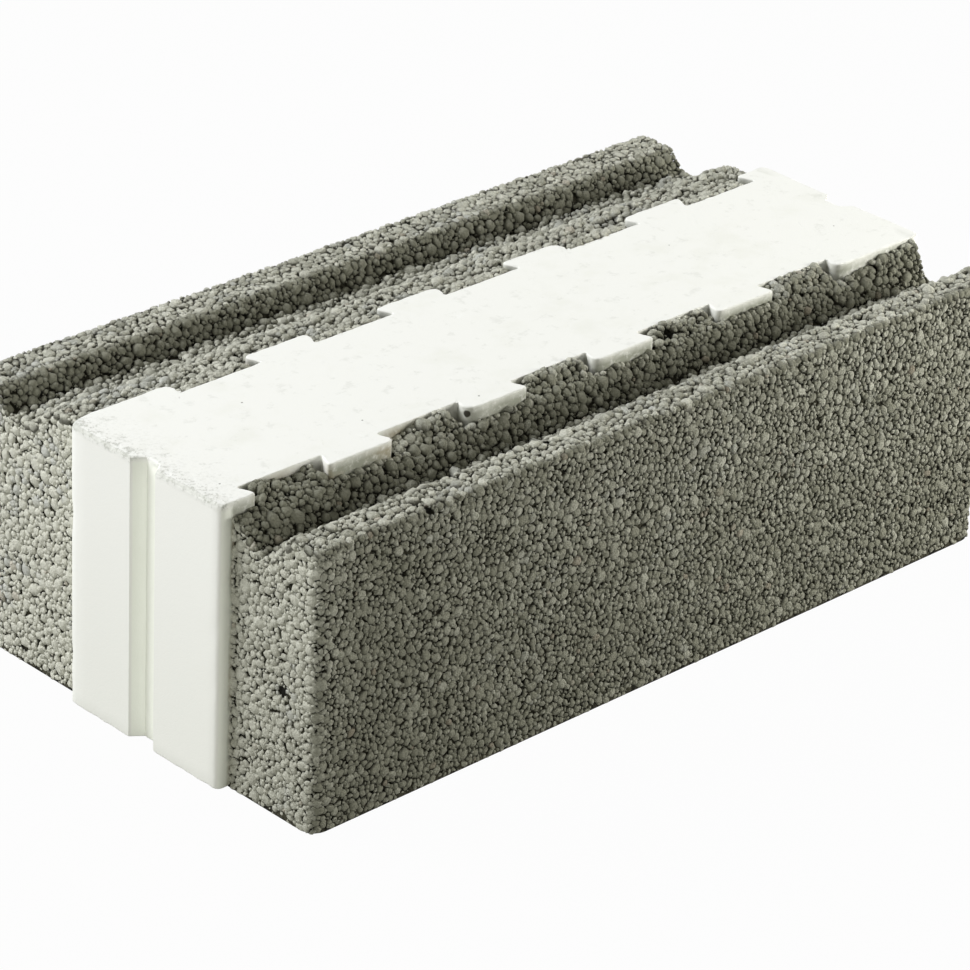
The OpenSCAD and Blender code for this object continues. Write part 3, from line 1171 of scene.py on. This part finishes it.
LEAST_HEIGHT = 0.0002  # of a granule, to which its own height is added


def granules(kind, spots, radius, press, rng):
    """Granules of one kind, as domes with fewer sides where they are small. A kind is (shapes with
    their largest radius, height from and to as shares of the radius, sink from and to as shares of
    the radius, more sink in metres, tilt)."""
    shapes, (flat, tall), (out, let_in), deeper, tilt = kind
    parts, from_radius = [], 0.0
    for shape, to_radius in shapes:
        chosen = (radius >= from_radius) & (radius < to_radius)
        r = radius[chosen]
        height = r * rng.uniform(flat, tall, len(r)) + LEAST_HEIGHT
        sink = r * rng.uniform(out, let_in, len(r)) + deeper
        parts.append(place_domes(shape, spots[chosen], r, height, sink, tilt, press, rng))
        from_radius = to_radius
    return parts


# Kinds of granules, as the function above takes them.
PRESSED_SHAPES = [(SMALL, 0.0014), (MIDDLE, 0.0029), (LARGE, 1.0)]
LOOSE_SHAPES = [(MIDDLE, 0.0019), (BUBBLE, 0.0036), (LUMP, 1.0)]
FILLER_SHAPES = [(SMALL, 0.0013), (MIDDLE, 1.0)]
PRESSED = (PRESSED_SHAPES, (0.50, 0.85), (-0.22, 0.24), 0.0001, 0.22)
LOOSE = (LOOSE_SHAPES, (1.1, 1.5), (-0.50, 0.20), 0.0, 0.25)
SMOOTHED = (PRESSED_SHAPES, (0.50, 0.72), (-0.08, 0.18), 0.0, 0.18)
SMOOTHED_FILLER = (FILLER_SHAPES, (0.5, 0.8), (-0.10, 0.15), 0.0001, 0.25)
FILLER = (FILLER_SHAPES, (0.8, 1.1), (-0.20, 0.40), 0.0006, 0.30)

# For each part of a leaf: how coarse its granules are, their kind, the kind of the fillers between
# them, how many fillers there are against one full layer, the spread of the tones, and the skin for
# each pore in square metres.
PARTS = {
    "top": (1.27, LOOSE, FILLER, 1.6, 1.5, 0.00012),
    "face": (1.08, PRESSED, FILLER, 0.85, 1.2, 0.00006),
    "ends": (1.48, SMOOTHED, SMOOTHED_FILLER, 0.7, 0.3, 0.00012),
    "under": (2.7, PRESSED, FILLER, 0.1, 1, 0.00012),
}

# Fillers: the bounds of their radius, the radius that a full layer of them is reckoned with, how
# close they lie, and their throws.
FILLER_FROM, FILLER_TO, FILLER_SIZE, FILLER_CROWDING, FILLER_THROWS = 0.0007, 0.0014, 0.0013, 0.62, 4

# Middles of the three largest pits, measured as the front leaf lies, and their radius. On the back
# leaf the first one lies clear above the rim.
PITS = np.array([(-0.205, -0.158, 0.187), (0.070, -0.081, 0.186), (-0.292, -0.13, 0.085)])
PIT_RADIUS = 0.0046

# Pores: their least radius and the most that is added to it, the radius from which a granule stays
# in, and what their seed has more than the leaf's.
LEAST_PORE, PORE_SPREAD, HELD_FROM, PORE_SEED = 0.0006, 0.0014, 0.0019, 50


def fallen_out(spots, radius, holes, seed, draw):
    """Whether each spot lies in a pore: there are holes random pores, mostly small, that only small
    granules fall from."""
    rng = np.random.default_rng(seed)
    centres = draw(holes, rng)[:, :3]
    reach = LEAST_PORE + PORE_SPREAD * rng.uniform(0, 1, len(centres)) ** 3
    spot, centre, far = near_pairs(spots[:, :3], centres, LEAST_PORE + PORE_SPREAD)
    out = np.zeros(len(spots), bool)
    out[spot[(far < reach[centre]) & (radius[spot] < HELD_FROM)]] = True
    return out


def clinker(settings):
    """Cement coated granules: a tone for each, a rough crust, and a few burnt brown ones; painted shade
    darkens them towards their feet, where they meet, and painted light makes them lighter higher up the
    block."""
    paint = Paint("clinker_granules", Specular_IOR_Level=0.2)
    tone, rise, chance = paint.attribute("granule")
    crust = paint.noise(0.0019, 4.0, 0.7)
    patch = paint.noise(0.045, 3.0, 0.55)
    fine = paint.noise(0.0009, 2.0, 0.6)
    # Painted light and shade: granules lighter higher up the block and darker towards its foot.
    height = paint.ramp(paint.parts(paint.place)[2], 0.0, 0.20)
    amount = tone * 0.50 + crust * 1.1 + patch * 0.5 + fine * 0.7 + height * 0.22 - 1.02
    bluish = paint.ramp(chance, 0.45, 0.25) * paint.ramp(paint.noise(0.05, 1.0), 0.54, 0.62)
    layers = [
        (paint.maths("ADD", amount, 0.0, True), paint.blend(bluish, settings.light, settings.blue)),
        (paint.ramp(chance, 0.99, 0.995) * 0.35, settings.brown),
        # Painted shade: granules darken towards their feet, where they meet.
        ((1 - paint.ramp(rise, -0.2, 0.75)) * 0.7, settings.cement),
    ]
    return paint.finish(paint.layered(settings.dark, layers), 0.92, crust + fine * 0.3, 0.0020)


def cement(settings):
    """Rough cement between the granules, painted dark as the shade deep in the gaps: darker in its pores and
    darkest in the pits, as painted shadow.
    """
    paint = Paint("cement_bed", Specular_IOR_Level=0.15)
    pale, dull, dark, darkest = ([c * share for c in settings.cement] for share in (1.6, 0.8, 0.3, 0.15))
    grain = paint.noise(0.0018, 4.0, 0.7)
    # Painted shade: the pores of the bed painted darker.
    pores = paint.ramp(paint.noise(0.006, 2.0, 0.5), 0.52, 0.62)
    layers = [(grain, dull), (pores, dark)]
    # Painted shadow: the bed darkest in the pits.
    layers += [(1 - paint.ramp(paint.distance(pit), 0.003, 0.006), darkest) for pit in PITS]
    height = grain * 0.6 - paint.cells(0.0028) * 0.9
    return paint.finish(paint.layered(pale, layers), 0.95, height, 0.002)


# Tones: how far the darker seat reaches from the near end, how softly it ends and how far behind the
# outer face it starts; how much lighter the near corner of the face is, as painted light, and how far
# that reaches; and how much darker its dull part is, as painted shade, where that ends and how softly.
NEAR_DARK_REACH, NEAR_DARK_FADE, SEAT_FROM = 0.10, 0.03, 0.055
NEAR_CORNER_LIGHT, NEAR_CORNER_REACH = 1.5, 0.04
DULL, DULL_END, DULL_FADE = 0.75, -0.05, 0.2


def set_tones(leaf, part, places, look, spread):
    """Sets the looks of a part's granules: tones spread about the middle and lifted per part, as painted
    light and shade; the top painted darker where it leans away from the key lamp, and darker on the
    seat at the near end; the face painted lighter at its near corner and darker, as painted shade, from
    there to its middle."""
    # Painted light and shade: each part lifted or lowered as the lamps light it.
    tone = 0.5 + (look[:, 0] - 0.5) * spread + leaf.form.lit_and_shaded_lifts[part]
    x = places[:, 0]
    if part == "top":
        on_near = np.clip((leaf.left + NEAR_DARK_REACH - x) / NEAR_DARK_FADE, 0, 1)
        on_near *= places[:, 1] > leaf.outer + SEAT_FROM
        # Painted shade on the slopes that face away from the key lamp; the seat at the near end darker.
        tone -= np.clip(look[:, 3] * leaf.form.slope_shade, 0, 2) + on_near * leaf.form.near_seat_darkening
    if part == "face":
        # Painted light: the face lighter at its near corner; painted shade: darker from there to its middle.
        face_light_and_shade = NEAR_CORNER_LIGHT * np.clip(1 - (x - leaf.left) / NEAR_CORNER_REACH, 0, 1)
        face_light_and_shade -= DULL * np.clip((DULL_END - x) / DULL_FADE, 0, 1)
        tone += face_light_and_shade * leaf.form.face_light_and_shade
    look[:, 0] = tone
    # The painted shade at the feet grows weaker with a smaller spread.
    look[:, 1] = 1 - (1 - look[:, 1]) * spread
    look[:, 3] = 1


def make_leaf(node, form, core, settings, seed):
    """A leaf: its cement bed, and granules settled on its raked top, its face, its ends and its bed
    face round the pits, with smaller ones let in between them and pores where some fell out."""
    leaf = Leaf(core, node, form)
    stone, bed_paint = clinker(settings), cement(settings)
    places, faces = leaf.body(settings.bed, settings.bed * 1.4)
    add_piece(f"{node}_cement", leaf.in_place(places), faces, bed_paint, node)
    rng = np.random.default_rng(seed)
    all_spots = np.concatenate([PITS, 0 * PITS], 1)
    all_radius = np.full(len(PITS), PIT_RADIUS)
    for part, (draw, area) in leaf.skins().items():
        coarse, kind, filler, filling, spread, pore_area = PARTS[part]
        classes = classes_for(settings, area, coarse)
        spots, radius = settle(draw, classes, settings.crowding, rng, all_spots, all_radius)
        all_spots, all_radius = np.concatenate([all_spots, spots]), np.concatenate([all_radius, radius])
        number = int(area / (math.pi * FILLER_SIZE**2) * filling)
        classes = [(FILLER_FROM * coarse, FILLER_TO * coarse, FILLER_THROWS, number)]
        fillers, filler_radius = settle(draw, classes, FILLER_CROWDING, rng, all_spots, all_radius)
        parts = []
        for one_kind, where, size in ((kind, spots, radius), (filler, fillers, filler_radius)):
            kept = ~fallen_out(where, size, int(area / pore_area), seed + PORE_SEED, draw)
            parts += granules(one_kind, where[kept], size[kept], leaf.press, rng)
        places, faces, look = join(parts)
        set_tones(leaf, part, places, look, spread)
        places = leaf.in_place(places)
        carried = {"granule": look}
        add_piece(f"{node}_{part}", places, faces, stone, node, carried=carried)


# ---------------------------------------------------------------- stage


def camera_matrix(stage, aim):
    """Camera place and turn: back = (-sin a cos e, -cos a cos e, sin e), right and up square to it,
    both rolled, and the camera distance back from the point it aims at."""
    a, e = stage.azimuth, stage.elevation
    back = Vector((-math.sin(a) * math.cos(e), -math.cos(a) * math.cos(e), math.sin(e)))
    right = Vector((0, 0, 1)).cross(back).normalized()
    up = back.cross(right)
    turned = right * math.cos(stage.roll) + up * math.sin(stage.roll)
    risen = up * math.cos(stage.roll) - right * math.sin(stage.roll)
    matrix = Matrix((turned, risen, back)).transposed().to_4x4()
    matrix.translation = aim + back * stage.distance
    return matrix


# Lamps: place, the point that one shines at, width and tint.
KEY_LAMP = ((-2.02, 2.54, 2.95), (0, 0, 0.1), 1.8, (0.98, 0.99, 1.0))
FILL_LAMP = ((1.05, -0.85, 0.42), (0.3, -0.1, 0.1), 0.4, (1.0, 0.99, 0.92))
NEAR_LAMP = ((-1.9, -0.9, 0.35), (-0.3, -0.1, 0.1), 0.8, (1.0, 1.0, 0.92))

AIM = Vector((-0.00947, -0.00513, 0.07519))  # point that the camera looks at
SKY_TINT = (1, 0.98, 0.80)
WHITE = (1, 1, 1)
WHITENESS = 0.975  # share of plain white in the floor that the camera sees, the rest being lit
FLOOR_REACH = 6.0


def lamp(name, power, place, aim, size, tint):
    """A square soft lamp that shines at a point."""
    data = bpy.data.lights.new(name, "AREA")
    data.shape = "SQUARE"
    data.size = size
    data.energy = power
    data.color = tint
    made = bpy.data.objects.new(name, data)
    bpy.context.scene.collection.objects.link(made)
    made.location = place
    made.rotation_euler = (Vector(place) - Vector(aim)).to_track_quat("Z", "Y").to_euler()


def set_world(stage):
    """An even sky, white where the camera, a gloss or a glass sees it."""
    world = bpy.data.worlds.new("studio_sky")
    bpy.context.scene.world = world
    world.use_nodes = True
    tree = Tree(world.node_tree)
    light = tree.nodes["Background"]
    tree.feed(light.inputs["Color"], SKY_TINT)
    tree.feed(light.inputs["Strength"], stage.sky)
    white = tree.node("ShaderNodeBackground", {}, {"Color": WHITE, "Strength": 1.0})
    inputs = {0: tree.seen(), 1: Value(tree, light.outputs[0]), 2: white}
    mixed = tree.node("ShaderNodeMixShader", {}, inputs)
    tree.feed(tree.nodes["World Output"].inputs["Surface"], mixed)


def floor_material(stage):
    """A pale matt floor, lifted to white where the camera looks at it, with the shadow kept."""
    paint = Paint("pale_floor", Base_Color=stage.floor, Roughness=1.0, Specular_IOR_Level=0.0)
    glow = paint.node("ShaderNodeEmission", {}, {"Color": WHITE})
    inputs = {0: paint.seen() * WHITENESS, 1: Value(paint, paint.shader.outputs[0]), 2: glow}
    mixed = paint.node("ShaderNodeMixShader", {}, inputs)
    paint.feed(paint.nodes["Material Output"].inputs["Surface"], mixed)
    return paint.material


def set_stage(stage):
    """Camera, sky, three lamps and the floor."""
    scene = bpy.context.scene
    scene.view_settings.view_transform = "Standard"
    camera = bpy.data.objects.new("camera", bpy.data.cameras.new("camera"))
    scene.collection.objects.link(camera)
    camera.data.lens = stage.lens
    camera.matrix_world = camera_matrix(stage, AIM)
    scene.camera = camera
    set_world(stage)
    lamp("key_lamp", stage.key, *KEY_LAMP)
    lamp("fill_lamp", stage.fill, *FILL_LAMP)
    lamp("near_lamp", stage.near, *NEAR_LAMP)
    mesh = bpy.data.meshes.new("floor")
    corners = np.array([(-1, -1, 0), (1, -1, 0), (1, 1, 0), (-1, 1, 0)]) * FLOOR_REACH
    fill_mesh(mesh, corners, [np.array([[0, 1, 2, 3]])])
    mesh.materials.append(floor_material(stage))
    floor = bpy.data.objects.new("floor", mesh)
    scene.collection.objects.link(floor)


# ---------------------------------------------------------------- add-on


class BLOCK_OT_core(bpy.types.Operator):
    """Make the polystyrene core"""

    bl_idname = "block.make_core"
    bl_label = "Make Core"

    def execute(self, context):
        make_core(context.scene.block_core)
        return {"FINISHED"}


class BLOCK_OT_front_leaf(bpy.types.Operator):
    """Make the front concrete leaf"""

    bl_idname = "block.make_front_leaf"
    bl_label = "Make Front Leaf"

    def execute(self, context):
        leaves = context.scene.block_leaf
        make_leaf("front_leaf", FRONT_FORM, context.scene.block_core, leaves, leaves.seed)
        return {"FINISHED"}


class BLOCK_OT_back_leaf(bpy.types.Operator):
    """Make the back concrete leaf"""

    bl_idname = "block.make_back_leaf"
    bl_label = "Make Back Leaf"

    def execute(self, context):
        leaves = context.scene.block_leaf
        make_leaf("back_leaf", BACK_FORM, context.scene.block_core, leaves, leaves.seed + 1)
        return {"FINISHED"}


class BLOCK_OT_stage(bpy.types.Operator):
    """Set the camera, the lamps and the floor"""

    bl_idname = "block.set_stage"
    bl_label = "Set Stage"

    def execute(self, context):
        set_stage(context.scene.block_stage)
        return {"FINISHED"}


class BLOCK_PT_panel(bpy.types.Panel):
    """Sizes, colours and makers of the block"""

    bl_idname = "BLOCK_PT_panel"
    bl_label = "Insulated Block"
    bl_space_type = "VIEW_3D"
    bl_region_type = "UI"
    bl_category = "Block"

    def draw(self, context):
        scene = context.scene
        groups = [
            ("block_core", ["block.make_core"]),
            ("block_leaf", ["block.make_front_leaf", "block.make_back_leaf"]),
            ("block_stage", ["block.set_stage"]),
        ]
        for group, makers in groups:
            box = self.layout.box()
            settings = getattr(scene, group)
            for label in settings.bl_rna.properties.keys():
                if label not in ("rna_type", "name"):
                    box.prop(settings, label)
            for maker in makers:
                box.operator(maker)


CLASSES = (
    CoreSettings,
    LeafSettings,
    StageSettings,
    BLOCK_OT_core,
    BLOCK_OT_front_leaf,
    BLOCK_OT_back_leaf,
    BLOCK_OT_stage,
    BLOCK_PT_panel,
)


def register():
    """Registers the classes and hangs the settings on the scene."""
    for cls in CLASSES:
        bpy.utils.register_class(cls)
    bpy.types.Scene.block_core = PointerProperty(type=CoreSettings)
    bpy.types.Scene.block_leaf = PointerProperty(type=LeafSettings)
    bpy.types.Scene.block_stage = PointerProperty(type=StageSettings)


def unregister():
    """Takes the settings and the classes away again."""
    del bpy.types.Scene.block_stage
    del bpy.types.Scene.block_leaf
    del bpy.types.Scene.block_core
    for cls in reversed(CLASSES):
        bpy.utils.unregister_class(cls)


def main():
    """Makes the whole scene."""
    register()
    bpy.ops.block.make_core()
    bpy.ops.block.make_front_leaf()
    bpy.ops.block.make_back_leaf()
    bpy.ops.block.set_stage()


if __name__ == "__main__":
    main()
